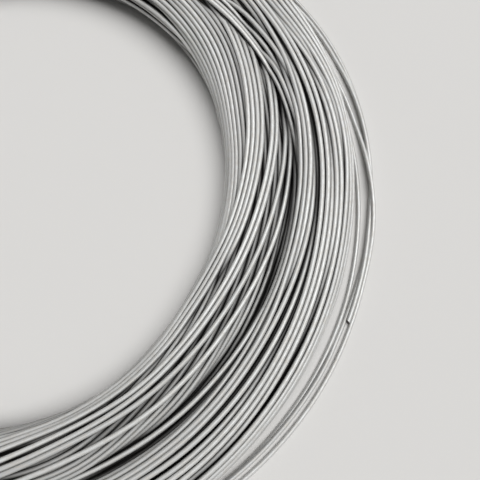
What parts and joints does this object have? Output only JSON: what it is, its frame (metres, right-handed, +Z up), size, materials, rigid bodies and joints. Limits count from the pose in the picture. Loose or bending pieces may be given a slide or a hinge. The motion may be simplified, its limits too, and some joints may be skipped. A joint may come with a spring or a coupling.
{
  "type": "coil of galvanized wire",
  "caption": "Flat-lying round coil of galvanized steel wire: two strands of turns around an open eye, a valley between them, and loose outer turns ending in a cut end.",
  "frame": {"origin": "on the coil's axis, at the level of the floor that it lies on", "axes": "+Z up along the coil's axis, +X towards the side where the loose turns have sprung out, +Y to the far side as the picture looks down on it"},
  "size_m": [0.6938, 0.6768, 0.0539],
  "materials": {
    "galvanized_wire": "hot-dip galvanized, dull grey zinc with a soft sheen"
  },
  "bodies": {
    "root": {"wire_coil": "galvanized_wire"}
  },
  "joints": []
}
